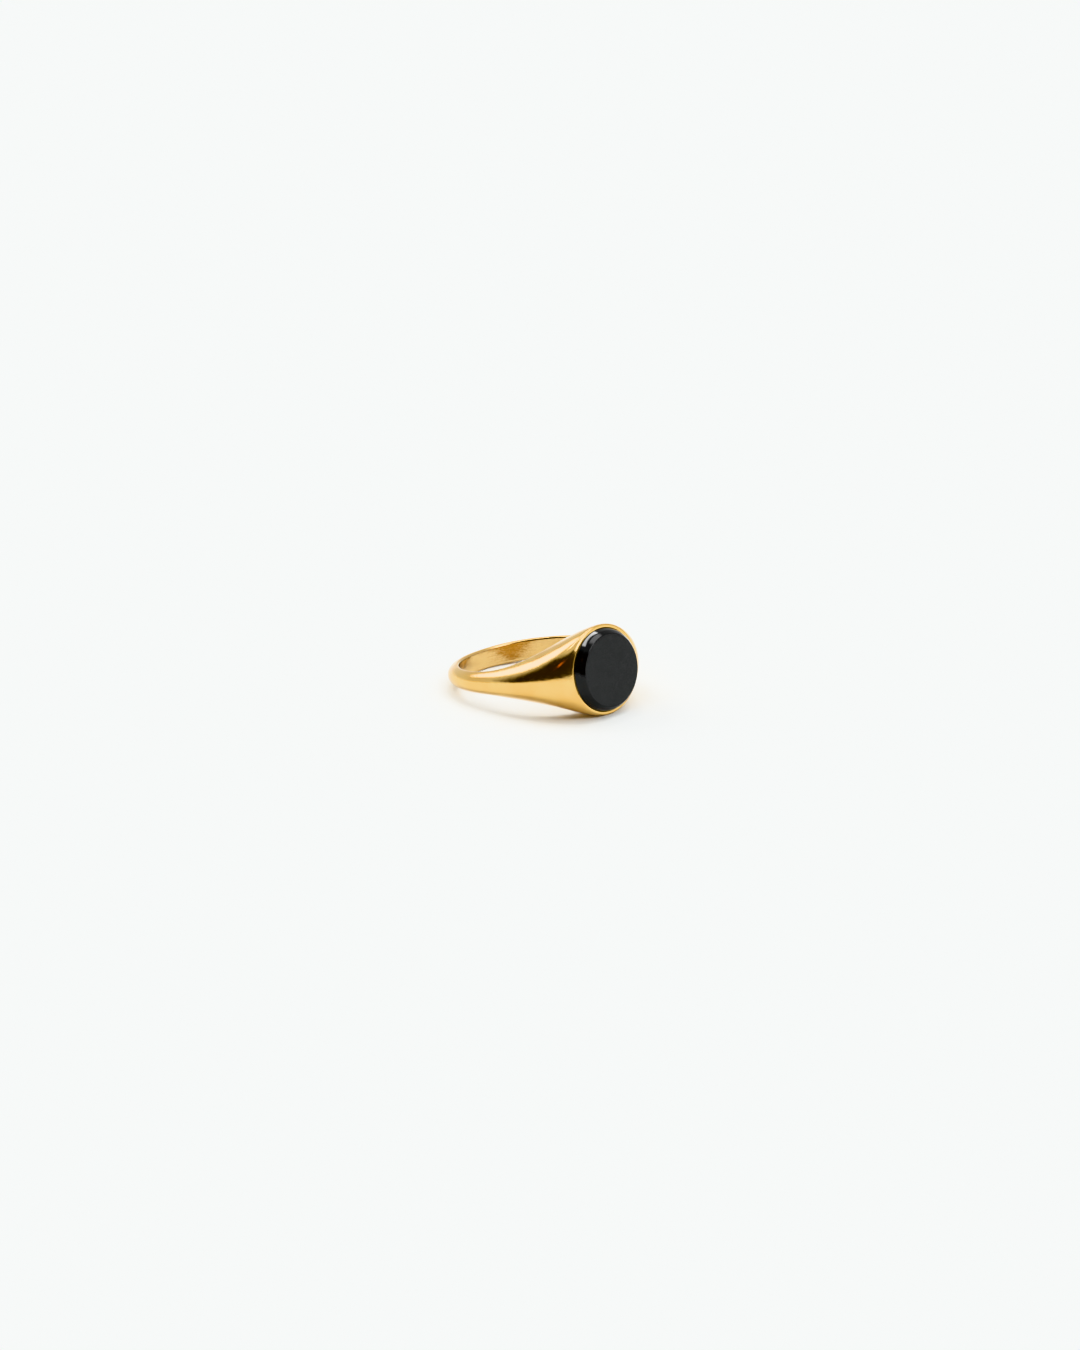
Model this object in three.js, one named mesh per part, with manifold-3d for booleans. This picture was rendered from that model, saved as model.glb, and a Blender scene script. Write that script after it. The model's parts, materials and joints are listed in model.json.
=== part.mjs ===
// A cast signet ring with a round black onyx tablet, lying on its side as it rests on a table.
// Millimetres, +Z up. The face looks towards -Y and leans back a little, because the wide head
// and the narrow back of the shank both touch the table.
import * as THREE from 'three';
import { ParametricGeometry } from 'three/addons/geometries/ParametricGeometry.js';
import { mergeVertices } from 'three/addons/utils/BufferGeometryUtils.js';
import Module from 'manifold-3d';

const wasm = await Module();
wasm.setup();

// ---- driving dimensions -------------------------------------------------------------------
// In the ring's own frame the finger hole runs along Z and the face looks towards -Y.
const FINGER_HOLE_RADIUS = 8.75;
const FACE_HEIGHT = 12.15; // from the finger hole's axis to the bezel's rim

const SHANK_OUTER_RADIUS_SIDE = 10.05;
const SHANK_OUTER_RADIUS_BACK = 10.4;
const SHANK_HALF_WIDTH_SIDE = 1.46; // half the band's width along the finger, at its inner edge
const SHANK_HALF_WIDTH_QUARTER = 1.36;
const SHANK_HALF_WIDTH_BACK = 1.3;
const SECTION_FULLNESS = 8.4; // 2 is an ellipse; more gives flat flanks and a rounded outer face

const HEAD_RADIUS = 5.45;
const HEAD_EDGE_ROUNDING = 0.5;
const SHOULDER_START_SLOPE = 0.08; // how fast the shoulder widens where it leaves the shank
const SHOULDER_END_SLOPE = 0.095; // and just under the head's rounded edge
const SHOULDER_SCOOP = 0.34; // how far the shoulder is hollowed half way up
const SHOULDER_FULLNESS = 2.15; // front outline: fullness towards the shank
const SHOULDER_SHARPNESS = 1.43; // front outline: how flat it meets the bezel
const SECTION_EASING = 4; // how soon the flat flanks give way to the round head

const STONE_RADIUS = 5;
const STONE_WALL_TOP_RADIUS = 4.72;
const STONE_TABLE_RADIUS = 4.36;
const STONE_WALL_HEIGHT = 0.66; // above the bezel's rim
const STONE_HEIGHT = 1.08; // table above the bezel's rim
const STONE_DEPTH = 1.2; // below the bezel's rim
const STONE_BASE_BEVEL = 0.15;
const BEZEL_WALL = 0.21; // at the rim
const SETTING_CLEARANCE = 0.05;
const CEMENT_THICKNESS = 0.12;

// ---- mesh fineness ------------------------------------------------------------------------
const AROUND_SECTION = 72;
const HEAD_ROWS = 22;
const BACK_ROWS = 16;
const AROUND_FINGER_HOLE = 96;
const AROUND_STONE = 72;

const BEZEL_RADIUS = STONE_RADIUS + BEZEL_WALL;
const SEAT_RADIUS = STONE_RADIUS + SETTING_CLEARANCE;
const SEAT_DEPTH = STONE_DEPTH + CEMENT_THICKNESS + 2 * SETTING_CLEARANCE;

// ---- helpers ------------------------------------------------------------------------------
const smooth = (x) => x * x * (3 - 2 * x);

// Cubic from a to b over t = 0..1 that leaves with slope slopeA and arrives with slope slopeB.
function ease(t, a, b, slopeA, slopeB) {
  const left = 1 - t;
  return (1 + 2 * t) * left * left * a + t * left * left * slopeA
    + t * t * (3 - 2 * t) * b - t * t * left * slopeB;
}

// A closed geometry as a solid: shared vertices merged, faces that collapsed at a pole dropped.
function toSolid(geometry) {
  geometry.deleteAttribute('normal');
  geometry.deleteAttribute('uv');
  const merged = mergeVertices(geometry, 1e-4);
  const corners = merged.index.array;
  const kept = [];
  for (let i = 0; i < corners.length; i += 3) {
    const [a, b, c] = [corners[i], corners[i + 1], corners[i + 2]];
    if (a !== b && b !== c && c !== a) kept.push(a, b, c);
  }
  return new wasm.Manifold(new wasm.Mesh({
    numProp: 3,
    vertProperties: merged.attributes.position.array,
    triVerts: new Uint32Array(kept),
  }));
}

function toGeometry(solid) {
  const mesh = solid.getMesh();
  const geometry = new THREE.BufferGeometry();
  geometry.setAttribute('position', new THREE.BufferAttribute(mesh.vertProperties, 3));
  geometry.setIndex(new THREE.BufferAttribute(mesh.triVerts, 1));
  geometry.computeVertexNormals();
  return geometry;
}

// A turned shape about the face's own axis. Each profile point is [radius, height above the rim].
function turned(profile, segments) {
  const points = profile.map(([radius, height]) => new THREE.Vector2(radius, height));
  const geometry = new THREE.LatheGeometry(points, segments);
  geometry.rotateX(Math.PI); // the lathe's +Y now looks out of the face, along -Y
  return geometry.translate(0, -FACE_HEIGHT, 0);
}

function disc(radius, low, high, bevel = 0) {
  return [[0, low], [radius - bevel, low], [radius, low + bevel], [radius, high], [0, high]];
}

// ---- the casting's outer skin -------------------------------------------------------------
// Sections from the face down to the finger hole's axis are level cuts; behind it they are
// radial cuts that fold round the axis and meet at the back of the shank.
const flankFlatness = (radius, outer) => Math.sqrt(1 - (radius / outer) ** SECTION_FULLNESS);
const FLANK_AT_SIDE = flankFlatness(FINGER_HOLE_RADIUS, SHANK_OUTER_RADIUS_SIDE);
const AXIS_HALF_WIDTH = SHANK_HALF_WIDTH_SIDE / FLANK_AT_SIDE;

function headSection(level) {
  const sideways = BEZEL_RADIUS + (SHANK_OUTER_RADIUS_SIDE - BEZEL_RADIUS)
    * (1 - level ** SHOULDER_FULLNESS) ** (1 / SHOULDER_SHARPNESS);
  const intoEdge = Math.max(0, 1 - (1 - level) * FACE_HEIGHT / HEAD_EDGE_ROUNDING);
  const edgeRounding = (HEAD_RADIUS - BEZEL_RADIUS) * (1 - Math.sqrt(1 - intoEdge ** 2));
  const lengthways = ease(level, AXIS_HALF_WIDTH, HEAD_RADIUS,
    SHOULDER_START_SLOPE * FACE_HEIGHT, SHOULDER_END_SLOPE * FACE_HEIGHT)
    - SHOULDER_SCOOP * (4 * level * (1 - level)) ** 2 - edgeRounding;
  const fullness = 2 + (SECTION_FULLNESS - 2) * (1 - level ** 1.5) ** SECTION_EASING;
  return { sideways, lengthways, fullness };
}

// The band's outer radius and half width, from its side (turn 0) to its back (turn 1). At the
// side its width changes as fast as the shoulder's, so the two meet without a crease.
function shankSection(turn) {
  const toSide = 1 - turn;
  const outer = SHANK_OUTER_RADIUS_BACK
    + (SHANK_OUTER_RADIUS_SIDE - SHANK_OUTER_RADIUS_BACK) * smooth(toSide);
  const slopeAtSide = SHOULDER_START_SLOPE * FLANK_AT_SIDE * FINGER_HOLE_RADIUS * Math.PI / 2;
  const plainTaper = (t) => ease(t, SHANK_HALF_WIDTH_BACK, SHANK_HALF_WIDTH_SIDE, 0, slopeAtSide);
  const swell = SHANK_HALF_WIDTH_QUARTER - plainTaper(0.5);
  const halfWidth = plainTaper(toSide) + swell * (4 * toSide * turn) ** 2;
  return { outer, halfWidth };
}

function headPoint(around, level, target) {
  const { sideways, lengthways, fullness } = headSection(level);
  const across = Math.sin(around);
  const along = Math.sqrt(1 - Math.abs(across) ** fullness) * Math.sign(Math.cos(around));
  target.set(sideways * across, -FACE_HEIGHT * level, lengthways * along);
}

function shankPoint(around, turn, target) {
  const { outer, halfWidth } = shankSection(turn);
  const across = Math.sin(around);
  const radius = outer * Math.abs(across);
  const fromAxis = smooth(Math.min(1, radius / FINGER_HOLE_RADIUS));
  const atAxis = halfWidth / flankFlatness(FINGER_HOLE_RADIUS, outer);
  const widest = AXIS_HALF_WIDTH + (atAxis - AXIS_HALF_WIDTH) * fromAxis;
  const along = flankFlatness(radius, outer) * Math.sign(Math.cos(around));
  const swing = turn * Math.PI / 2;
  target.set(Math.sign(across) * radius * Math.cos(swing), radius * Math.sin(swing), widest * along);
}

function outerSkin() {
  const rows = 1 + HEAD_ROWS + BACK_ROWS;
  return new ParametricGeometry((u, v, target) => {
    const around = 2 * Math.PI * u;
    const row = Math.round(v * rows);
    if (row === 0) {
      target.set(0, -FACE_HEIGHT, 0);
    } else if (row <= HEAD_ROWS + 1) {
      headPoint(around, 1 - ((row - 1) / HEAD_ROWS) ** 1.6, target);
    } else {
      shankPoint(around, (row - 1 - HEAD_ROWS) / BACK_ROWS, target);
    }
  }, AROUND_SECTION, rows);
}

// ---- pieces -------------------------------------------------------------------------------
function ringBody() {
  const throughHeight = 4 * HEAD_RADIUS;
  const fingerHole = new THREE.CylinderGeometry(
    FINGER_HOLE_RADIUS, FINGER_HOLE_RADIUS, throughHeight, AROUND_FINGER_HOLE);
  fingerHole.rotateX(Math.PI / 2);
  const seat = turned(disc(SEAT_RADIUS, -SEAT_DEPTH, 1), AROUND_STONE);
  return toGeometry(toSolid(outerSkin()).subtract(toSolid(fingerHole)).subtract(toSolid(seat)));
}

function onyxTablet() {
  return turned([
    [0, -STONE_DEPTH],
    [STONE_RADIUS - STONE_BASE_BEVEL, -STONE_DEPTH],
    [STONE_RADIUS, STONE_BASE_BEVEL - STONE_DEPTH],
    [STONE_RADIUS, 0],
    [STONE_WALL_TOP_RADIUS, STONE_WALL_HEIGHT],
    [STONE_TABLE_RADIUS, STONE_HEIGHT],
    [0, STONE_HEIGHT],
  ], AROUND_STONE);
}

function stoneCement() {
  const bottom = SETTING_CLEARANCE - SEAT_DEPTH;
  return turned(disc(STONE_RADIUS - STONE_BASE_BEVEL, bottom, bottom + CEMENT_THICKNESS), AROUND_STONE);
}

const goldPlate = new THREE.MeshStandardMaterial({ color: 0xe3bd76, roughness: 0.12, metalness: 1 });
const onyx = new THREE.MeshStandardMaterial({ color: 0x1d1d20, roughness: 0.2, metalness: 0 });
const epoxy = new THREE.MeshStandardMaterial({ color: 0x3a3732, roughness: 0.6, metalness: 0 });

// ---- assembly -----------------------------------------------------------------------------
const ring = new THREE.Group();
for (const [name, geometry, material] of [
  ['ring_body', ringBody(), goldPlate],
  ['onyx_tablet', onyxTablet(), onyx],
  ['stone_cement', stoneCement(), epoxy],
]) {
  const mesh = new THREE.Mesh(geometry, material);
  mesh.name = name;
  ring.add(mesh);
}

// The angle at which the ring lies: the line that the head's rim and the back of the shank
// both rest on, found by tipping the ring until its lowest points at both ends are level.
function restingAngle() {
  const points = ring.getObjectByName('ring_body').geometry.attributes.position;
  const lowest = (angle, side) => {
    let low = Infinity;
    for (let i = 0; i < points.count; i += 1) {
      const height = points.getZ(i) * Math.cos(angle) - points.getY(i) * Math.sin(angle);
      if (points.getY(i) * side > 0) low = Math.min(low, height);
    }
    return low;
  };
  let [under, over] = [0, Math.PI / 6];
  for (let step = 0; step < 40; step += 1) {
    const middle = (under + over) / 2;
    if (lowest(middle, -1) < lowest(middle, 1)) under = middle;
    else over = middle;
  }
  return (under + over) / 2;
}

ring.rotation.x = -restingAngle();
const settled = new THREE.Box3().setFromObject(ring, true);
const middle = settled.getCenter(new THREE.Vector3());
ring.position.set(-middle.x, -middle.y, -settled.min.z);

const assembly = new THREE.Group();
assembly.add(ring);

export default assembly;
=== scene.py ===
"""The looks of a gold-plated signet ring with a round black onyx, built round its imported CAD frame.

Everything is in metres in the CAD's frame: +Z up from the table, the stone's face towards -Y.
The ring's own drawing is in millimetres, in the ring's frame: the finger hole runs along Z and
the face looks towards -Y. The frame's two mounts say where that drawing lies.
"""
import json
import math

import bmesh
import bpy
from mathutils import Matrix, Vector


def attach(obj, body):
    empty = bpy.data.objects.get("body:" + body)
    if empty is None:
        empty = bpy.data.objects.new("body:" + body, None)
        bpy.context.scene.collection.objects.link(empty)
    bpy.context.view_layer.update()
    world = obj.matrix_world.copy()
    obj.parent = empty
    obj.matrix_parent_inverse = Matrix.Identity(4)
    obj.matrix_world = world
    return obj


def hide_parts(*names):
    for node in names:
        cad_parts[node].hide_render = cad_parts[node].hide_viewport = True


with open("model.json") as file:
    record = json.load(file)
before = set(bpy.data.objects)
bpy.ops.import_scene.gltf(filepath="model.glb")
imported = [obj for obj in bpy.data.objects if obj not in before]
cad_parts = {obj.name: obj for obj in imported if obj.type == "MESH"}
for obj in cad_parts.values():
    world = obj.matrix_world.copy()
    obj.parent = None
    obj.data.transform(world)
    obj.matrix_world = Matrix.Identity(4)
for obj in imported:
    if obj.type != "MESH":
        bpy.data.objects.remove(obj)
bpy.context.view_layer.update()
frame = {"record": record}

MM = 0.001
QUARTER_TURN = math.pi / 2
mounts = {m["name"]: m for m in frame["record"]["mounts"]}
hole_centre = Vector(mounts["finger_hole"]["pos_m"])
hole_axis = Vector(mounts["finger_hole"]["axis"]).normalized()
table_centre = Vector(mounts["stone_table"]["pos_m"])
towards_back = -Vector(mounts["stone_table"]["axis"]).normalized()

# ---- sizes in millimetres; fullness, sharpness, easing and slopes are plain numbers ---------
STONE_RADIUS = 5.0
STONE_WALL_TOP_RADIUS = 4.72
STONE_TABLE_RADIUS = 4.36
STONE_WALL_HEIGHT = 0.66
STONE_HEIGHT = 1.08
STONE_DEPTH = 1.2         # below the bezel's rim; the heights above are over it
STONE_BASE_BEVEL = 0.15
TABLE_MARGIN = 0.4        # a ring of points this far in keeps the table's shading flat
SETTING_CLEARANCE = 0.05
LIP_CLEARANCE = 0.008     # the lip is burnished down onto the stone
CEMENT_THICKNESS = 0.12
FACE_HEIGHT = (table_centre - hole_centre).length / MM - STONE_HEIGHT

RING_SIZES = {
    "Finger hole radius": 8.75,
    "Face height": FACE_HEIGHT,
    "Outer radius at side": 10.05,
    "Outer radius at back": 10.4,
    "Half width at side": 1.46,
    "Half width at quarter": 1.36,
    "Half width at back": 1.3,
    "Section fullness": 8.4,
    "Head radius": 5.45,
    "Head edge rounding": 0.5,
    "Shoulder start slope": 0.08,
    "Shoulder end slope": 0.095,
    "Shoulder scoop": 0.34,
    "Shoulder fullness": 2.15,
    "Shoulder sharpness": 1.43,
    "Section easing": 4.0,
    "Bezel radius": 5.21,
    "Seat radius": STONE_RADIUS + LIP_CLEARANCE,
    "Seat depth": STONE_DEPTH + CEMENT_THICKNESS + 2 * SETTING_CLEARANCE,
    "Edge margin": 0.5,
}
HOLE_EDGE_ROUND = 0.4
LIP_EDGE_SHARE = 0.06     # the lip's edges are rounded by this share of the hole's
EASING_ONSET = 1.5        # how late up the shoulder the flat flanks begin to give way

# ---- mesh fineness ------------------------------------------------------------------------
FRONT_STEPS = 72      # round a quarter of the finger hole, on the face's side
RIM_SHARE = 0.5       # the share of those that end on the bezel's rim
RIM_CROWDING = 1.7    # the rest crowd towards the rim by this power
BACK_STEPS = 56
SKIN_ROWS = 44        # from the finger hole's edge to the outline
SKIN_CROWDING = 1.8   # they crowd towards the outline by this power
BORE_ROWS = 2
SEAT_ROWS = 3         # lip, wall and floor
ROUND_STEPS = 6       # across a rounded edge of the casting
CORNER_STEPS = 5      # across a rounded corner of the stone or cement
AROUND_STONE = 192
ONE_POINT = 0.0005    # points nearer than this, in millimetres, are joined
BY_HOLE = 0.02        # an edge this near the finger hole's wall is one of the hole's edges
SHARP_BEND = math.radians(30)


def give(tree, socket, given):
    """Fills one input with a value or another node's output, or leaves it as it is for None.
    A tuple (operation, input, ...) is worked out by a Math node on the way."""
    if isinstance(given, tuple) and isinstance(given[0], str):
        given = add(tree, "ShaderNodeMath", *given[1:], operation=given[0])
    if isinstance(given, bpy.types.NodeSocket):
        tree.links.new(given, socket)
    elif given is not None:
        socket.default_value = given


def add(tree, kind, *inputs, **settings):
    """Adds one node, fills its inputs in their order and returns its first output."""
    made = tree.nodes.new(kind)
    for key, value in settings.items():
        setattr(made, key, value)
    for socket, given in zip([s for s in made.inputs if s.enabled], inputs):
        give(tree, socket, given)
    return next((s for s in made.outputs if s.enabled), None)


def away_from(tree, place, axis, other):
    """Millimetres from the finger hole's axis (X, Y) or from the face's own axis (X, Z)."""
    at = add(tree, "ShaderNodeSeparateXYZ", place).node
    here, there = at.outputs[axis], at.outputs[other]
    return ("SQRT", ("ADD", ("MULTIPLY", here, here), ("MULTIPLY", there, there)))


# ---- the casting --------------------------------------------------------------------------
def flank(size, outer):
    """Share of its greatest half width that a section of the band still has at the finger hole."""
    hole_share = ("POWER", ("DIVIDE", size["Finger hole radius"], outer), size["Section fullness"])
    return ("SQRT", ("SUBTRACT", 1.0, hole_share))


def head_section(tree, size, level):
    """Half length sideways, greatest half width and fullness of the casting's cut at a level, a
    share of the face height: the band's section at 0 and a circle, of fullness 2, at the rim."""
    rest = add(tree, "ShaderNodeMath", 1.0, level, operation="SUBTRACT")
    bezel, side = size["Bezel radius"], size["Outer radius at side"]
    head, height = size["Head radius"], size["Face height"]

    below_rim = ("MAXIMUM", ("SUBTRACT", 1.0, ("POWER", level, size["Shoulder fullness"])), 0.0)
    swell = ("POWER", below_rim, ("DIVIDE", 1.0, size["Shoulder sharpness"]))
    sideways = add(tree, "ShaderNodeMath", ("SUBTRACT", side, bezel), swell, bezel,
                   operation="MULTIPLY_ADD")

    # a cubic from the band's side to the head, with a given slope at either end
    level2 = add(tree, "ShaderNodeMath", level, level, operation="MULTIPLY")
    rest2 = add(tree, "ShaderNodeMath", rest, rest, operation="MULTIPLY")
    from_side = ("MULTIPLY", ("MULTIPLY", ("MULTIPLY_ADD", level, 2.0, 1.0), rest2),
                 ("DIVIDE", size["Half width at side"], flank(size, side)))
    leaving = ("MULTIPLY", ("MULTIPLY", level, rest2),
               ("MULTIPLY", size["Shoulder start slope"], height))
    to_head = ("MULTIPLY", ("MULTIPLY", level2, ("SUBTRACT", 3.0, ("MULTIPLY", level, 2.0))), head)
    arriving = ("MULTIPLY", ("MULTIPLY", level2, rest),
                ("MULTIPLY", size["Shoulder end slope"], height))
    shoulder = ("ADD", ("ADD", from_side, leaving), ("SUBTRACT", to_head, arriving))
    # 16 makes the scoop its full depth half way up
    scoop = ("MULTIPLY", ("MULTIPLY", ("MULTIPLY", level2, rest2), 16.0), size["Shoulder scoop"])
    past_edge = ("SUBTRACT", 1.0, ("DIVIDE", ("MULTIPLY", rest, height), size["Head edge rounding"]))
    into_edge = add(tree, "ShaderNodeMath", past_edge, 0.0, operation="MAXIMUM")
    left_of_edge = ("SQRT", ("MAXIMUM", ("SUBTRACT", 1.0, ("MULTIPLY", into_edge, into_edge)), 0.0))
    rounding = ("MULTIPLY", ("SUBTRACT", head, bezel), ("SUBTRACT", 1.0, left_of_edge))
    lengthways = add(tree, "ShaderNodeMath", ("SUBTRACT", shoulder, scoop), rounding,
                     operation="SUBTRACT")

    flat_flanks = ("POWER", ("MAXIMUM", ("SUBTRACT", 1.0, ("POWER", level, EASING_ONSET)), 0.0),
                   size["Section easing"])
    fullness = add(tree, "ShaderNodeMath", ("SUBTRACT", size["Section fullness"], 2.0), flat_flanks,
                   2.0, operation="MULTIPLY_ADD")
    return sideways, lengthways, fullness


def shank_section(tree, size, turn):
    """Outer radius and half width of the band's section, from its side (turn 0) to its back.
    At the side its width changes as fast as the shoulder's, so the two meet without a crease."""
    to_side = add(tree, "ShaderNodeMath", 1.0, turn, operation="SUBTRACT")
    square = add(tree, "ShaderNodeMath", to_side, to_side, operation="MULTIPLY")
    eased = ("MULTIPLY", square, ("SUBTRACT", 3.0, ("MULTIPLY", to_side, 2.0)))
    back, hole = size["Outer radius at back"], size["Finger hole radius"]
    outer = add(tree, "ShaderNodeMath", ("SUBTRACT", size["Outer radius at side"], back), eased,
                back, operation="MULTIPLY_ADD")
    slope_at_side = add(tree, "ShaderNodeMath", (
        "MULTIPLY", size["Shoulder start slope"], flank(size, size["Outer radius at side"])),
        ("MULTIPLY", hole, QUARTER_TURN), operation="MULTIPLY")
    side, quarter, end = (size[f"Half width at {place}"] for place in ("side", "quarter", "back"))
    plain_taper = ("SUBTRACT", ("MULTIPLY_ADD", ("SUBTRACT", side, end), eased, end),
                   ("MULTIPLY", slope_at_side, ("MULTIPLY", square, turn)))
    at_quarter = ("SUBTRACT", ("DIVIDE", ("ADD", side, end), 2.0), ("DIVIDE", slope_at_side, 8.0))
    # 16 makes the hump 1 half way round
    hump = ("MULTIPLY", ("MULTIPLY", square, ("MULTIPLY", turn, turn)), 16.0)
    half_width = ("ADD", plain_taper, ("MULTIPLY", ("SUBTRACT", quarter, at_quarter), hump))
    return outer, add(tree, "ShaderNodeMath", half_width, flank(size, outer), operation="DIVIDE")


def section_height(tree, across, fullness, widest):
    """How far a rounded section stands out lengthways, at a share of its half length across."""
    return add(tree, "ShaderNodeMath", (
        "SQRT", ("MAXIMUM", ("SUBTRACT", 1.0, ("POWER", across, fullness)), 0.0)), widest,
        operation="MULTIPLY")


def patch(tree, steps, rows, place):
    """A grid of steps by rows whose points are put where place(u, v) says, u and v from 0 to 1."""
    grid = add(tree, "GeometryNodeMeshGrid", 1.0, 1.0, steps + 1, rows + 1)
    at = add(tree, "ShaderNodeSeparateXYZ", add(tree, "GeometryNodeInputPosition")).node
    u = add(tree, "ShaderNodeMath", at.outputs["X"], 0.5, operation="ADD")
    v = add(tree, "ShaderNodeMath", at.outputs["Y"], 0.5, operation="ADD")
    point = add(tree, "ShaderNodeCombineXYZ", *place(u, v))
    return add(tree, "GeometryNodeSetPosition", grid, None, point)


def edge_row(tree, size, v, rows):
    """Radius that a row starts from, and how far it has gone to the outline: the first row
    lies on the finger hole's edge and the second a margin away, which leaves room to round it."""
    radius = add(tree, "ShaderNodeMath", ("MINIMUM", ("MULTIPLY", v, float(rows)), 1.0),
                 size["Edge margin"], size["Finger hole radius"], operation="MULTIPLY_ADD")
    gone = ("MAXIMUM", ("DIVIDE", ("SUBTRACT", v, 1 / rows), 1 - 1 / rows), 0.0)
    eased = add(tree, "ShaderNodeMath", 1.0, ("POWER", ("SUBTRACT", 1.0, gone), SKIN_CROWDING),
                operation="SUBTRACT")
    return radius, eased


def between(tree, start, end, share):
    """The value that lies a share of the way from start to end."""
    return add(tree, "ShaderNodeMath", ("SUBTRACT", end, start), share, start,
               operation="MULTIPLY_ADD")


def ring_body_tree():
    """A quarter of the casting as patches that meet edge to edge, mirrored twice."""
    tree = bpy.data.node_groups.new("Signet ring body", "GeometryNodeTree")
    tree.interface.new_socket("Geometry", in_out="OUTPUT", socket_type="NodeSocketGeometry")
    for name in RING_SIZES:
        tree.interface.new_socket(name, in_out="INPUT", socket_type="NodeSocketFloat")
    tree.interface.new_socket("Material", in_out="INPUT", socket_type="NodeSocketMaterial")
    given = tree.nodes.new("NodeGroupInput")
    size = {name: given.outputs[name] for name in RING_SIZES}
    height, hole = size["Face height"], size["Finger hole radius"]

    def front_edge(turn, radius):
        """The level of a point by the finger hole's edge, how far across its section the point
        is, and how far it stands out lengthways."""
        level = add(tree, "ShaderNodeMath", ("MULTIPLY", radius, ("COSINE", turn)), height,
                    operation="DIVIDE")
        sideways, lengthways, fullness = head_section(tree, size, level)
        off_middle = ("MULTIPLY", radius, ("SINE", turn))
        across = add(tree, "ShaderNodeMath", ("DIVIDE", off_middle, sideways), 1.0,
                     operation="MINIMUM")
        return level, across, section_height(tree, across, fullness, lengthways)

    def front_skin(u, v):
        radius, gone = edge_row(tree, size, v, SKIN_ROWS)
        level_in, across_in, _ = front_edge(("MULTIPLY", u, QUARTER_TURN), radius)
        around_out = ("MULTIPLY", ("MINIMUM", ("DIVIDE", u, RIM_SHARE), 1.0), QUARTER_TURN)
        past_rim = ("MAXIMUM", ("DIVIDE", ("SUBTRACT", u, RIM_SHARE), 1 - RIM_SHARE), 0.0)
        level_out = ("SUBTRACT", 1.0, ("POWER", past_rim, RIM_CROWDING))
        around = between(tree, ("ARCSINE", across_in), around_out, gone)
        level = between(tree, level_in, level_out, gone)
        sideways, lengthways, fullness = head_section(tree, size, level)
        across = add(tree, "ShaderNodeMath", around, operation="SINE")
        return (("MULTIPLY", sideways, across), ("MULTIPLY", ("MULTIPLY", level, height), -1.0),
                section_height(tree, across, fullness, lengthways))

    def back_skin(u, v):
        radius, gone = edge_row(tree, size, v, SKIN_ROWS)
        outer, widest = shank_section(tree, size, u)
        around = between(tree, ("ARCSINE", ("DIVIDE", radius, outer)), QUARTER_TURN, gone)
        across = add(tree, "ShaderNodeMath", around, operation="SINE")
        reach = add(tree, "ShaderNodeMath", outer, across, operation="MULTIPLY")
        turn = add(tree, "ShaderNodeMath", u, QUARTER_TURN, operation="MULTIPLY")
        return (("MULTIPLY", reach, ("COSINE", turn)), ("MULTIPLY", reach, ("SINE", turn)),
                section_height(tree, across, size["Section fullness"], widest))

    def front_bore(u, v):
        turn = add(tree, "ShaderNodeMath", u, QUARTER_TURN, operation="MULTIPLY")
        _, _, edge = front_edge(turn, hole)
        return (("MULTIPLY", hole, ("SINE", turn)),
                ("MULTIPLY", ("MULTIPLY", hole, ("COSINE", turn)), -1.0),
                ("MULTIPLY", edge, v))

    def back_bore(u, v):
        turn = add(tree, "ShaderNodeMath", u, QUARTER_TURN, operation="MULTIPLY")
        outer, widest = shank_section(tree, size, u)
        across = add(tree, "ShaderNodeMath", hole, outer, operation="DIVIDE")
        edge = section_height(tree, across, size["Section fullness"], widest)
        return (("MULTIPLY", hole, ("COSINE", turn)), ("MULTIPLY", hole, ("SINE", turn)),
                ("MULTIPLY", edge, v))

    def seat(u, v):
        """Across the lip, down the seat's wall and in over its floor."""
        turn = add(tree, "ShaderNodeMath", u, QUARTER_TURN, operation="MULTIPLY")
        row = add(tree, "ShaderNodeMath", v, float(SEAT_ROWS), operation="MULTIPLY")
        over_lip = ("MINIMUM", row, 1.0)
        down_wall = ("MINIMUM", ("MAXIMUM", ("SUBTRACT", row, 1.0), 0.0), 1.0)
        over_floor = ("MAXIMUM", ("SUBTRACT", row, 2.0), 0.0)
        bezel, wall = size["Bezel radius"], size["Seat radius"]
        lip = ("SUBTRACT", bezel, ("MULTIPLY", over_lip, ("SUBTRACT", bezel, wall)))
        radius = add(tree, "ShaderNodeMath", lip, ("MULTIPLY", wall, over_floor),
                     operation="SUBTRACT")
        sunk = ("MULTIPLY", size["Seat depth"], down_wall)
        return (("MULTIPLY", radius, ("SINE", turn)), ("SUBTRACT", sunk, height),
                ("MULTIPLY", radius, ("COSINE", turn)))

    quarter_shell = tree.nodes.new("GeometryNodeJoinGeometry")
    for steps, rows, place in (
        (FRONT_STEPS, SKIN_ROWS, front_skin),
        (BACK_STEPS, SKIN_ROWS, back_skin),
        (FRONT_STEPS, BORE_ROWS, front_bore),
        (BACK_STEPS, BORE_ROWS, back_bore),
        (int(FRONT_STEPS * RIM_SHARE), SEAT_ROWS, seat),
    ):
        made = patch(tree, steps, rows, place)
        made = add(tree, "GeometryNodeFlipFaces", made)
        tree.links.new(made, quarter_shell.inputs[0])
    shell = quarter_shell.outputs[0]
    for mirror in ((-1, 1, 1), (1, 1, -1)):
        other = add(tree, "GeometryNodeTransform", shell, None, None, mirror)
        both = tree.nodes.new("GeometryNodeJoinGeometry")
        tree.links.new(shell, both.inputs[0])
        tree.links.new(add(tree, "GeometryNodeFlipFaces", other), both.inputs[0])
        shell = both.outputs[0]
    shell = add(tree, "GeometryNodeMergeByDistance", shell, None, ONE_POINT)

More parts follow.
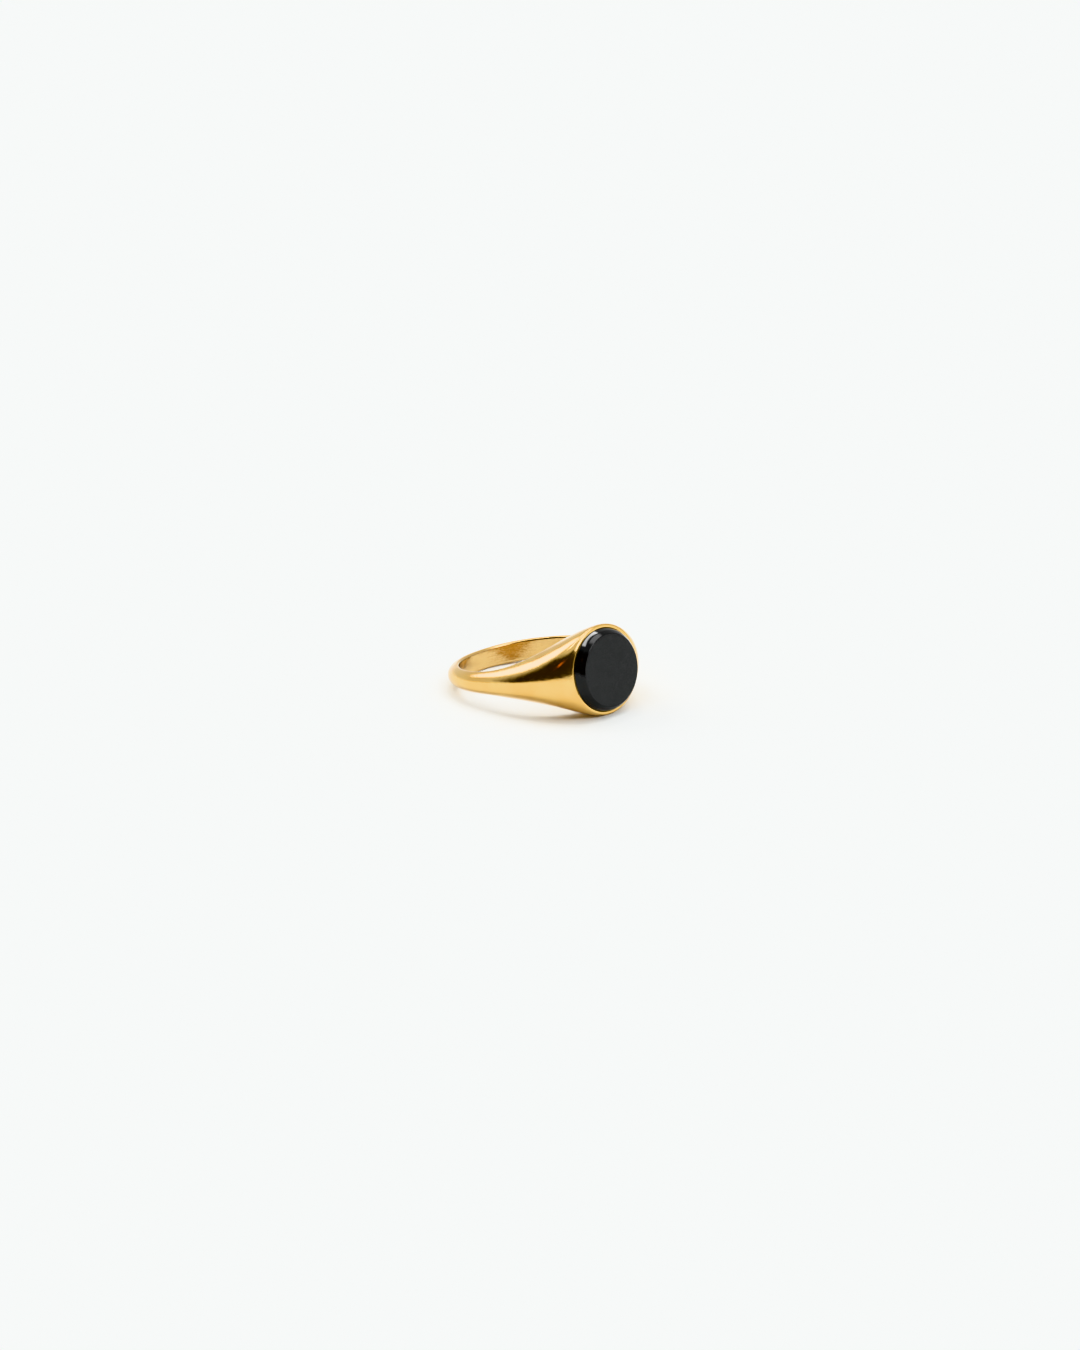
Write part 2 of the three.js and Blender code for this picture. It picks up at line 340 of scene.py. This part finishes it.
    # how much of the full rounding each sharp edge gets: all of it by the hole, a little at the lip
    bend = add(tree, "GeometryNodeInputMeshEdgeAngle")
    from_axis = away_from(tree, add(tree, "GeometryNodeInputPosition"), "X", "Y")
    by_hole = ("LESS_THAN", from_axis, ("ADD", hole, BY_HOLE))
    share = ("MULTIPLY_ADD", by_hole, 1.0 - LIP_EDGE_SHARE, LIP_EDGE_SHARE)
    weight = add(tree, "ShaderNodeMath", share, ("GREATER_THAN", bend, SHARP_BEND),
                 operation="MULTIPLY")
    shell = add(tree, "GeometryNodeStoreNamedAttribute", shell, None, "bevel_weight_edge", weight,
                domain="EDGE", data_type="FLOAT")
    shell = add(tree, "GeometryNodeSetShadeSmooth", shell, None, True)
    shell = add(tree, "GeometryNodeRealizeInstances", shell)
    shell = add(tree, "GeometryNodeSetMaterial", shell, None, given.outputs["Material"])
    tree.links.new(shell, tree.nodes.new("NodeGroupOutput").inputs[0])
    return tree


def ring_turn():
    """How the ring's own frame is turned as the ring lies on the table."""
    sideways = towards_back.cross(hole_axis)
    return Matrix((sideways, towards_back, hole_axis)).transposed()


def lay_down(mesh):
    """Puts a mesh drawn in the ring's own frame, in millimetres, where the ring lies."""
    mesh.transform(Matrix.Translation(hole_centre) @ ring_turn().to_4x4() @ Matrix.Scale(MM, 4))


def finish_piece(name, mesh, node):
    """Makes a finished mesh a piece that stands for its CAD node."""
    piece = bpy.data.objects.new(name, mesh)
    bpy.context.scene.collection.objects.link(piece)
    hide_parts(node)
    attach(piece, "root")


def ring_body(material):
    """The casting, shaped by its rule, with its edges rounded and its shading evened."""
    seed = bpy.data.objects.new("ring body seed", bpy.data.meshes.new("ring body seed"))
    bpy.context.scene.collection.objects.link(seed)
    shaping = seed.modifiers.new("Shape", "NODES")
    shaping.node_group = ring_body_tree()
    for socket in shaping.node_group.interface.items_tree:
        if socket.item_type == "SOCKET" and socket.in_out == "INPUT":
            given = material if socket.name == "Material" else RING_SIZES[socket.name]
            shaping[socket.identifier] = given
    rounding = seed.modifiers.new("Rounded edges", "BEVEL")
    rounding.width = HOLE_EDGE_ROUND
    rounding.segments = ROUND_STEPS
    rounding.limit_method = "WEIGHT"
    rounding.use_clamp_overlap = False
    closing = seed.modifiers.new("Points joined where roundings meet", "WELD")
    closing.merge_threshold = ONE_POINT
    evenly = seed.modifiers.new("Even shading", "WEIGHTED_NORMAL")
    evenly.weight = 80
    mesh = bpy.data.meshes.new_from_object(seed.evaluated_get(bpy.context.evaluated_depsgraph_get()))
    bpy.data.objects.remove(seed)
    mesh.name = "ring_body_polished"
    lay_down(mesh)
    finish_piece("ring_body_polished", mesh, "ring_body")


# ---- stone and cement ---------------------------------------------------------------------
def rounded(profile):
    """A profile whose corners are (radius, rise, reach of the rounding) as a list of points."""
    corners = [Vector(corner[:2]) for corner in profile]
    points = [corners[0]]
    for before, corner, after, (_, _, reach) in zip(corners, corners[1:], corners[2:], profile[1:]):
        if reach == 0:
            points.append(corner)
            continue
        start = corner + (before - corner).normalized() * reach
        end = corner + (after - corner).normalized() * reach
        for i in range(CORNER_STEPS + 1):
            t = i / CORNER_STEPS
            points.append(start * (1 - t) ** 2 + corner * 2 * t * (1 - t) + end * t ** 2)
    points.append(corners[-1])
    return points


def turned(name, profile, material):
    """A closed mesh turned about the face's axis, from a profile that starts and ends on it.
    The profile's rise is counted from the bezel's rim."""
    shape = bmesh.new()
    rings = []
    for radius, rise in profile:
        level = -(FACE_HEIGHT + rise)
        count = 1 if radius == 0 else AROUND_STONE
        rings.append([shape.verts.new((radius * math.sin(2 * math.pi * i / AROUND_STONE), level,
                                       radius * math.cos(2 * math.pi * i / AROUND_STONE)))
                      for i in range(count)])
    for lower, upper in zip(rings, rings[1:]):
        for i in range(AROUND_STONE):
            j = (i + 1) % AROUND_STONE
            corners = [lower[i % len(lower)], lower[j % len(lower)],
                       upper[j % len(upper)], upper[i % len(upper)]]
            shape.faces.new(list(dict.fromkeys(corners)))
    bmesh.ops.recalc_face_normals(shape, faces=shape.faces)
    for face in shape.faces:
        face.smooth = True
    mesh = bpy.data.meshes.new(name)
    shape.to_mesh(mesh)
    shape.free()
    mesh.materials.append(material)
    lay_down(mesh)
    return mesh


def onyx_tablet(material):
    """The stone: a straight girdle in the seat, a wall that leans in, a bevel and a flat table."""
    profile = rounded([
        (0, -STONE_DEPTH, 0),
        (STONE_RADIUS - STONE_BASE_BEVEL, -STONE_DEPTH, 0.03),
        (STONE_RADIUS, STONE_BASE_BEVEL - STONE_DEPTH, 0.05),
        (STONE_RADIUS, 0, 0.1),
        (STONE_WALL_TOP_RADIUS, STONE_WALL_HEIGHT, 0.12),
        (STONE_TABLE_RADIUS, STONE_HEIGHT, 0.06),
        (STONE_TABLE_RADIUS - TABLE_MARGIN, STONE_HEIGHT, 0),
        (0, STONE_HEIGHT, 0),
    ])
    mesh = turned("onyx_tablet_cut", profile, material)
    finish_piece("onyx_tablet_cut", mesh, "onyx_tablet")


def stone_cement(material):
    """The thin bed of cement between the seat's floor and the stone."""
    bottom = SETTING_CLEARANCE - RING_SIZES["Seat depth"]
    top = bottom + CEMENT_THICKNESS
    edge = STONE_RADIUS - STONE_BASE_BEVEL
    profile = rounded([(0, bottom, 0), (edge, bottom, 0.03), (edge, top, 0.03), (0, top, 0)])
    mesh = turned("stone_cement_bed", profile, material)
    finish_piece("stone_cement_bed", mesh, "stone_cement")


# ---- materials ----------------------------------------------------------------------------
# Noise runs from about 0.3 to 0.7, and its scale is 1 over the blotches' size in millimetres.
EASED = {"interpolation_type": "SMOOTHSTEP"}


def colour(hex_code):
    """An sRGB hex colour as the linear colour that shaders take."""
    parts = [int(hex_code[i:i + 2], 16) / 255 for i in (1, 3, 5)]
    linear = [c / 12.92 if c <= 0.04045 else ((c + 0.055) / 1.055) ** 2.4 for c in parts]
    return (*linear, 1.0)


def new_material(name):
    """A new material, its node tree and its surface shader."""
    made = bpy.data.materials.new(name)
    made.use_nodes = True
    return made, made.node_tree, made.node_tree.nodes["Principled BSDF"]


def ring_place(tree):
    """Object coordinates as millimetres in the ring's own frame."""
    here = tree.nodes.new("ShaderNodeTexCoord").outputs["Object"]
    return add(tree, "ShaderNodeMapping", here, hole_centre, ring_turn().to_euler(), (MM, MM, MM),
               vector_type="TEXTURE")


def hairlines(tree, place, turn, length, width, rarity):
    """Fine straight scuffs of a length and width in millimetres: 1 in a scuff, 0 between them."""
    along = add(tree, "ShaderNodeMapping", place, None, turn, (length, width, width),
                vector_type="TEXTURE")
    grain = add(tree, "ShaderNodeTexNoise", along, 1.0, 0.0)
    soft_side = 0.06
    return add(tree, "ShaderNodeMapRange", grain, rarity, rarity + soft_side, 0.0, 1.0, **EASED)


def polished_gold_plate():
    """Buffed gold plate over a casting: a clear warm mirror, with a faint ripple left by the buffing
    wheel and a haze of hairline scuffs from wear. Inside the hole the gold is painted darker and
    duller, as painted shade of the hole's inside, and fine turning lines run round it."""
    made, tree, surface = new_material("polished yellow gold plate")
    place = ring_place(tree)
    hole = RING_SIZES["Finger hole radius"]
    in_hole = add(tree, "ShaderNodeMapRange", away_from(tree, place, "X", "Y"), hole + 0.2,
                  hole + 0.05, 0.0, 1.0, **EASED)
    # the plate's thickness, and its tone with it, drifts over some 3.5 mm
    clouds = add(tree, "ShaderNodeTexNoise", place, 1 / 3.5, 2.0)
    warmer = add(tree, "ShaderNodeMapRange", clouds, 0.35, 0.65, 0.0, 1.0, **EASED)
    tone = add(tree, "ShaderNodeMix", warmer, colour("#E1BB74"), colour("#DCB26A"),
               data_type="RGBA")
    # the hole's wall gets a darker, duller gold: painted shade of the hole's inside
    tone = add(tree, "ShaderNodeMix", in_hole, tone, colour("#CEAD74"), data_type="RGBA")
    give(tree, surface.inputs["Base Color"], tone)
    surface.inputs["Metallic"].default_value = 1.0

    # real scuffs are a few microns wide; these are 0.05 and 0.07 mm so that they show at all
    scuffs = add(tree, "ShaderNodeMath", hairlines(tree, place, (0.3, 0.2, 0.5), 2.6, 0.07, 0.68),
                 hairlines(tree, place, (1.1, -0.4, -0.7), 1.8, 0.05, 0.7), operation="MAXIMUM")
    # a lathe leaves lines some microns apart round the hole; these are 0.12 mm apart to show
    round_hole = add(tree, "ShaderNodeMapping", place, None, None, (9.0, 9.0, 0.12),
                     vector_type="TEXTURE")
    turning_lines = add(tree, "ShaderNodeMath", add(tree, "ShaderNodeTexNoise", round_hole, 1.0, 3.0),
                        in_hole, operation="MULTIPLY")
    # the wheel's ripple is about 0.9 mm across, and the haze from handling 0.8 mm
    ripple = add(tree, "ShaderNodeTexNoise", place, 1 / 0.9, 3.0)
    handled = add(tree, "ShaderNodeTexNoise", place, 1 / 0.8, 4.0)
    haze = add(tree, "ShaderNodeMapRange", handled, 0.3, 0.7, 0.08, 0.14, **EASED)
    give(tree, surface.inputs["Roughness"],
         ("ADD", ("MULTIPLY_ADD", scuffs, 0.05, haze), ("MULTIPLY", turning_lines, 0.1)))
    relief = ("ADD", ("SUBTRACT", ripple, ("MULTIPLY", scuffs, 0.02)),
              ("MULTIPLY", turning_lines, 0.1))
    give(tree, surface.inputs["Normal"], add(tree, "ShaderNodeBump", 1.0, 0.02 * MM, None, relief))
    return made


def polished_onyx():
    """Black chalcedony: a glassy bevel, a lapped table that is a touch softer and finely
    speckled, and very faint grey banding deep in the black."""
    made, tree, surface = new_material("polished black onyx")
    place = ring_place(tree)
    # the stone's layers are 0.7 mm thick and wander over 3 mm
    banded = add(tree, "ShaderNodeMapping", place, None, (0.5, 0.3, 0.2), (3.0, 3.0, 0.7),
                 vector_type="TEXTURE")
    bands = add(tree, "ShaderNodeTexNoise", banded, 1.0, 2.0)
    greyer = add(tree, "ShaderNodeMapRange", bands, 0.4, 0.7, 0.0, 1.0, **EASED)
    tone = add(tree, "ShaderNodeMix", greyer, colour("#050505"), colour("#0D0D0D"),
               data_type="RGBA")
    # lapping grit leaves specks of some hundredths of a millimetre, drawn at 0.35 mm to show
    specks = add(tree, "ShaderNodeTexNoise", place, 1 / 0.35, 3.0)
    paler = add(tree, "ShaderNodeMapRange", specks, 0.45, 0.62, 0.0, 1.0, **EASED)
    on_table = add(tree, "ShaderNodeMapRange", away_from(tree, place, "X", "Z"),
                   STONE_TABLE_RADIUS - 0.02, STONE_TABLE_RADIUS - 0.08, 0.0, 1.0, **EASED)
    tone = add(tree, "ShaderNodeMix", ("MULTIPLY", on_table, paler), tone, colour("#171718"),
               data_type="RGBA")
    give(tree, surface.inputs["Base Color"], tone)
    surface.inputs["IOR"].default_value = 1.54
    surface.inputs["Specular IOR Level"].default_value = 0.34

    table_specks = ("MULTIPLY", specks, on_table)
    give(tree, surface.inputs["Roughness"],
         ("ADD", ("MULTIPLY_ADD", on_table, 0.12, 0.04), ("MULTIPLY", table_specks, 0.1)))
    relief = ("MULTIPLY", specks, ("MULTIPLY_ADD", on_table, 0.9, 0.1))
    give(tree, surface.inputs["Normal"], add(tree, "ShaderNodeBump", 1.0, 0.004 * MM, None, relief))
    return made


def cured_epoxy():
    """Dark two-part epoxy that has flowed flat and cured: satin, a little mottled, with tiny
    bubbles just under its skin."""
    made, tree, surface = new_material("cured dark epoxy")
    place = ring_place(tree)
    # mottling 0.9 mm across; real bubbles are finer than these, which are set 0.4 mm apart
    clouds = add(tree, "ShaderNodeTexNoise", place, 1 / 0.9, 3.0)
    mottle = add(tree, "ShaderNodeMapRange", clouds, 0.3, 0.7, 0.0, 1.0, **EASED)
    tone = add(tree, "ShaderNodeMix", mottle, colour("#33302B"), colour("#444038"),
               data_type="RGBA")
    give(tree, surface.inputs["Base Color"], tone)
    give(tree, surface.inputs["Roughness"],
         add(tree, "ShaderNodeMapRange", mottle, 0.0, 1.0, 0.38, 0.55, **EASED))
    cells = add(tree, "ShaderNodeTexVoronoi", place, 1 / 0.4)
    bubbles = add(tree, "ShaderNodeMapRange", cells, 0.1, 0.2, 0.0, 1.0, **EASED)
    give(tree, surface.inputs["Normal"], add(tree, "ShaderNodeBump", 0.5, 0.01 * MM, None, bubbles))
    return made


# ---- camera, floor and light --------------------------------------------------------------
# Azimuth is counted from straight in front of the stone, anticlockwise seen from above.
CAMERA_AZIMUTH = math.radians(-45.2)
CAMERA_ELEVATION = math.radians(20.2)
LENS_MM, SENSOR_MM = 200.0, 36.0
VIEW_HEIGHT = 0.1603      # how much the camera takes in from top to bottom, at the ring
AIM_RIGHT, AIM_UP = 0.0008, -0.0013   # from the finger hole's centre
FLOOR_RADIUS = 3.0

ROOM_WALL, ROOM_FRONT = "#F7F8F8", "#2F241A"
FLOOR_GLOW = 1.4          # how much brighter the walls are where they meet the floor
GLOW_FADE = (1.5, 9.0)    # degrees above the floor
# the dark front, in degrees: turns count anticlockwise from its middle, heights up from the floor
FRONT_AZIMUTH = math.radians(-60)
FRONT_STARTS, FRONT_ENDS = (-84.0, -50.0), (68.0, 82.0)
SILL, SILL_TURN, SILL_RISE = 4.0, -45.0, 0.45        # the sill rises before its turn
LINTEL, LINTEL_TURN, LINTEL_FALL = 56.0, 20.0, 0.6   # and the lintel falls past its turn
SILL_FADE, LINTEL_FADE = (-2.0, 4.0), (-5.0, 5.0)
# azimuth, elevation, radius and soft edge in degrees, brightness and colour of each light
SOFT_BOXES = (
    (70, 77, 9, 13, 3.7, "#FEFFFF"),
    (-168, 43, 10, 9, 7.5, "#FEFFFF"),
    (8, 45, 8, 8, 8.5, "#FEFFFF"),
    (-68, 38, 2.0, 2.5, 1.0, "#FF9A5A"),
)
# a strip light overhead, seen as a thin curved line in the stone's bevel: where its middle is,
# how far it reaches, its soft end and brightness, and the direction that it lies square to
STRIP = (166, 69, 22, 5, 14.0)
STRIP_ACROSS = (-0.245, 0.908, -0.341)
STRIP_HALF_WIDTH = 1.2


def set_camera():
    """A long lens a little above the ring, to the left of the face."""
    data = bpy.data.cameras.new("camera")
    data.lens = LENS_MM
    data.sensor_width = SENSOR_MM
    camera = bpy.data.objects.new("camera", data)
    bpy.context.scene.collection.objects.link(camera)
    back = Vector((math.sin(CAMERA_AZIMUTH) * math.cos(CAMERA_ELEVATION),
                   -math.cos(CAMERA_AZIMUTH) * math.cos(CAMERA_ELEVATION),
                   math.sin(CAMERA_ELEVATION)))
    right = Vector((math.cos(CAMERA_AZIMUTH), math.sin(CAMERA_AZIMUTH), 0))
    up = back.cross(right)
    aim = hole_centre + right * AIM_RIGHT + up * AIM_UP
    camera.location = aim + back * (VIEW_HEIGHT * LENS_MM / SENSOR_MM)
    camera.rotation_mode = "QUATERNION"
    camera.rotation_quaternion = (-back).to_track_quat("-Z", "Y")
    data.clip_start, data.clip_end = 0.05, 20
    bpy.context.scene.camera = camera


def lay_floor():
    """A matt white table top, so wide that its edge is lost in the room's glow."""
    shape = bmesh.new()
    bmesh.ops.create_circle(shape, cap_ends=True, segments=96, radius=FLOOR_RADIUS)
    mesh = bpy.data.meshes.new("floor")
    shape.to_mesh(mesh)
    shape.free()
    made, _, surface = new_material("white table top")
    surface.inputs["Base Color"].default_value = colour("#F0F2F1")
    surface.inputs["Roughness"].default_value = 0.9
    surface.inputs["Specular IOR Level"].default_value = 0.0
    mesh.materials.append(made)
    floor = bpy.data.objects.new("floor", mesh)
    bpy.context.scene.collection.objects.link(floor)


def round_box(tree, towards, azimuth, elevation, radius, edge, power):
    """Brightness of a round soft box seen in a direction."""
    a, e = math.radians(azimuth), math.radians(elevation)
    middle = (math.sin(a) * math.cos(e), -math.cos(a) * math.cos(e), math.sin(e))
    near = add(tree, "ShaderNodeVectorMath", towards, middle, operation="DOT_PRODUCT")
    return add(tree, "ShaderNodeMapRange", near, math.cos(math.radians(radius + edge)),
               math.cos(math.radians(radius)), 0.0, power, **EASED)


def light_room():
    """A white room with soft boxes overhead and behind, and an open front that is dark."""
    world = bpy.data.worlds.new("room")
    bpy.context.scene.world = world
    world.use_nodes = True
    tree = world.node_tree
    towards = tree.nodes.new("ShaderNodeTexCoord").outputs["Generated"]
    east, north, rise = add(tree, "ShaderNodeSeparateXYZ", towards).node.outputs
    front_east, front_north = math.sin(FRONT_AZIMUTH), -math.cos(FRONT_AZIMUTH)
    ahead = ("ADD", ("MULTIPLY", east, front_east), ("MULTIPLY", north, front_north))
    aside = ("ADD", ("MULTIPLY", east, -front_north), ("MULTIPLY", north, front_east))
    turn = add(tree, "ShaderNodeMath", ("ARCTAN2", aside, ahead), math.degrees(1),
               operation="MULTIPLY")
    height = add(tree, "ShaderNodeMath", ("ARCSINE", rise), math.degrees(1), operation="MULTIPLY")

    before_sill_turn = ("MAXIMUM", ("SUBTRACT", SILL_TURN, turn), 0.0)
    over_sill = ("SUBTRACT", height, ("MULTIPLY_ADD", before_sill_turn, SILL_RISE, SILL))
    past_lintel_turn = ("MAXIMUM", ("SUBTRACT", turn, LINTEL_TURN), 0.0)
    over_lintel = ("SUBTRACT", height, ("MULTIPLY_ADD", past_lintel_turn, -LINTEL_FALL, LINTEL))
    opening = 1.0
    for value, start, end, low, high in (
        (over_sill, *SILL_FADE, 0.0, 1.0),
        (over_lintel, *LINTEL_FADE, 1.0, 0.0),
        (turn, *FRONT_STARTS, 0.0, 1.0),
        (turn, *FRONT_ENDS, 1.0, 0.0),
    ):
        inside = add(tree, "ShaderNodeMapRange", value, start, end, low, high, **EASED)
        opening = ("MULTIPLY", opening, inside)
    glow = add(tree, "ShaderNodeMapRange", height, *GLOW_FADE, FLOOR_GLOW, 1.0, **EASED)
    walls = add(tree, "ShaderNodeVectorMath", colour(ROOM_WALL)[:3], glow, operation="SCALE")
    light = add(tree, "ShaderNodeMix", opening, walls, colour(ROOM_FRONT), data_type="RGBA")

    for *box, tint in SOFT_BOXES:
        lamp = add(tree, "ShaderNodeVectorMath", colour(tint)[:3], round_box(tree, towards, *box),
                   operation="SCALE")
        light = add(tree, "ShaderNodeVectorMath", light, lamp, operation="ADD")
    along = add(tree, "ShaderNodeVectorMath", towards, STRIP_ACROSS, operation="DOT_PRODUCT")
    off_line = ("MULTIPLY", ("ARCSINE", ("ABSOLUTE", along)), math.degrees(1))
    on_line = add(tree, "ShaderNodeMapRange", off_line, STRIP_HALF_WIDTH, 2 * STRIP_HALF_WIDTH,
                  1.0, 0.0, **EASED)
    light = add(tree, "ShaderNodeVectorMath", light,
                ("MULTIPLY", round_box(tree, towards, *STRIP), on_line), operation="ADD")
    give(tree, tree.nodes["Background"].inputs["Color"], light)


bpy.context.scene.view_settings.view_transform = "Khronos PBR Neutral"
set_camera()
lay_floor()
light_room()
ring_body(polished_gold_plate())
onyx_tablet(polished_onyx())
stone_cement(cured_epoxy())
